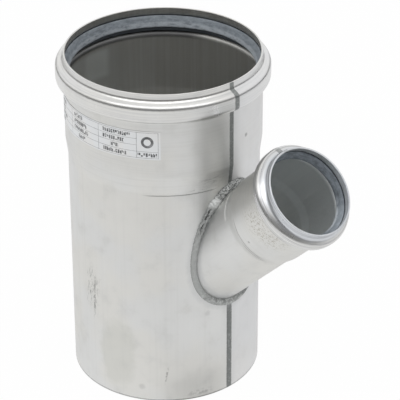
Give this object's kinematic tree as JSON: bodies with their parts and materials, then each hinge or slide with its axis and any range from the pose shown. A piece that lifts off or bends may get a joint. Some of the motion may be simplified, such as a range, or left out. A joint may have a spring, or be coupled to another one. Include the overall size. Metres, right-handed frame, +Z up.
{
  "type": "forty-five degree pipe branch",
  "caption": "Stainless steel push-fit drain pipe branch: a straight run with a socket and rubber seal, and a smaller socketed inlet welded in at forty-five degrees",
  "frame": {"origin": "centre of the run's plain end, on the run's axis", "axes": "+Z up the run from its plain end to its socket, inlet leaning towards +X in the XZ plane"},
  "size_m": [0.1908, 0.1216, 0.201],
  "materials": {
    "run_steel": "pickled",
    "branch_steel": "pickled",
    "weld_steel": "as welded",
    "run_rubber": "matte",
    "branch_rubber": "matte",
    "label_film": "satin"
  },
  "bodies": {
    "root": {"run_pipe": "run_steel", "branch_pipe": "branch_steel", "branch_weld": "weld_steel", "run_seal": "run_rubber", "branch_seal": "branch_rubber", "type_label": "label_film"}
  },
  "joints": []
}
